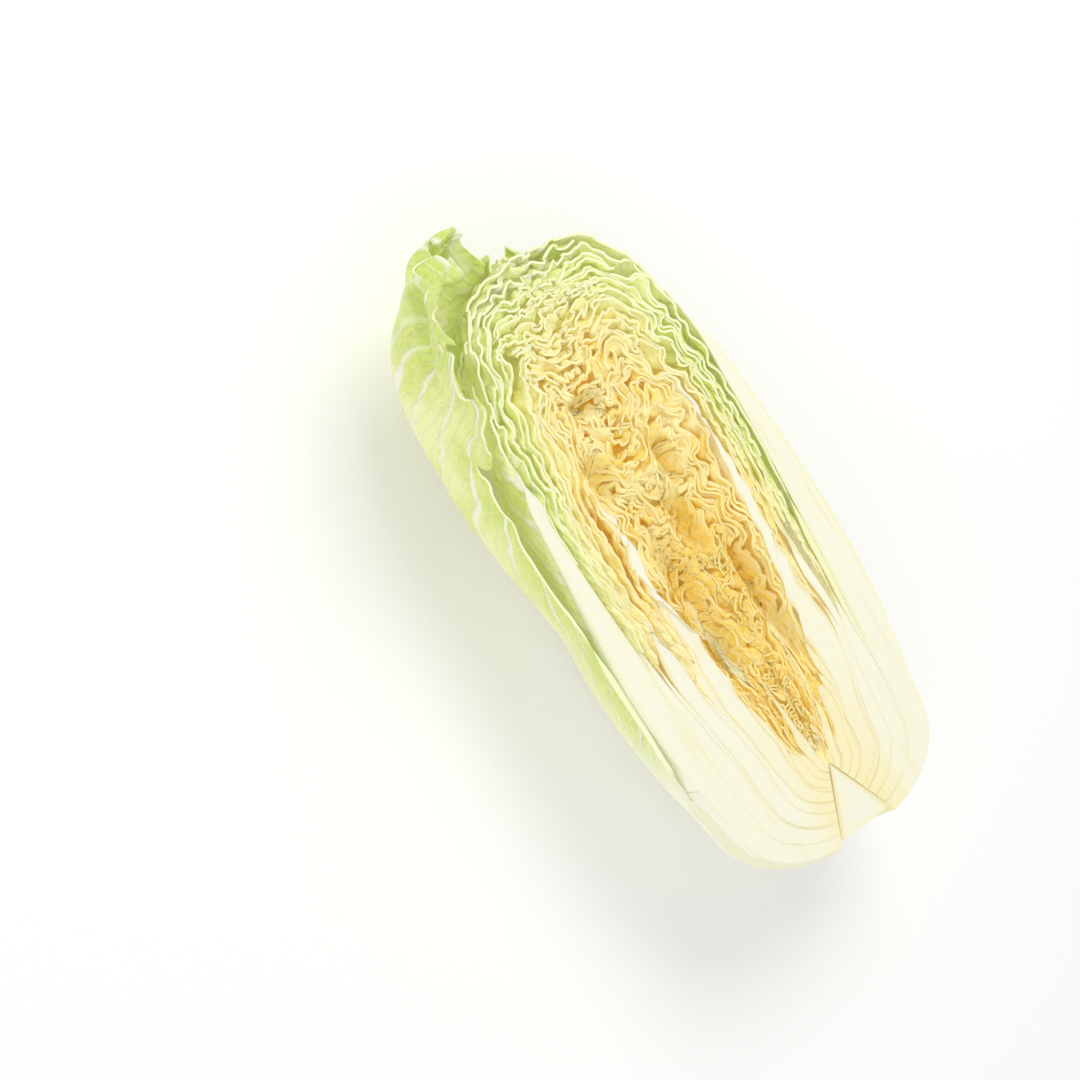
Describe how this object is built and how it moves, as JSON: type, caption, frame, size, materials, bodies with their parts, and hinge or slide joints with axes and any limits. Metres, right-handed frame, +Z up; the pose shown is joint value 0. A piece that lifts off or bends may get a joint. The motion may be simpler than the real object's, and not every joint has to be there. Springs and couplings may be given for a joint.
{
  "type": "napa cabbage half",
  "caption": "Half a long leafy cabbage head, cut lengthwise and lying on its round back, with nested leaves round a short stem, white ribs and a crinkled yellow heart.",
  "frame": {"origin": "under the middle of the half head, on the surface that it lies on", "axes": "+Y along the head from the butt to the tip, +Z up and square to the cut face, +X to the right when the tip points away"},
  "size_m": [0.1472, 0.3244, 0.0882],
  "materials": {
    "wrapper_leaf": "stands in for a fresh outer leaf: pale whitish green with white veins, slightly waxy and softly shining",
    "head_leaf": "stands in for a blanched leaf: white midrib, pale yellow-green blade, moist where it is cut",
    "heart_leaf": "stands in for a young leaf: cream to golden yellow, finely crinkled and moist",
    "stem": "stands in for the dense white flesh of the stem, freshly cut"
  },
  "bodies": {
    "root": {"wrapper_leaf_01": "wrapper_leaf", "wrapper_leaf_02": "wrapper_leaf", "wrapper_leaf_03": "wrapper_leaf", "wrapper_leaf_04": "wrapper_leaf", "head_leaf_05": "head_leaf", "head_leaf_06": "head_leaf", "head_leaf_07": "head_leaf", "head_leaf_08": "head_leaf", "head_leaf_09": "head_leaf", "head_leaf_10": "head_leaf", "head_leaf_11": "head_leaf", "head_leaf_12": "head_leaf", "head_leaf_13": "head_leaf", "head_leaf_14": "head_leaf", "heart_leaf_15": "heart_leaf", "heart_leaf_16": "heart_leaf", "heart_leaf_17": "heart_leaf", "heart_leaf_18": "heart_leaf", "heart_leaf_19": "heart_leaf", "heart_leaf_20": "heart_leaf", "heart_leaf_21": "heart_leaf", "heart_leaf_22": "heart_leaf", "heart_leaf_23": "heart_leaf", "heart_leaf_24": "heart_leaf", "heart_leaf_25": "heart_leaf", "stem": "stem"}
  },
  "joints": []
}
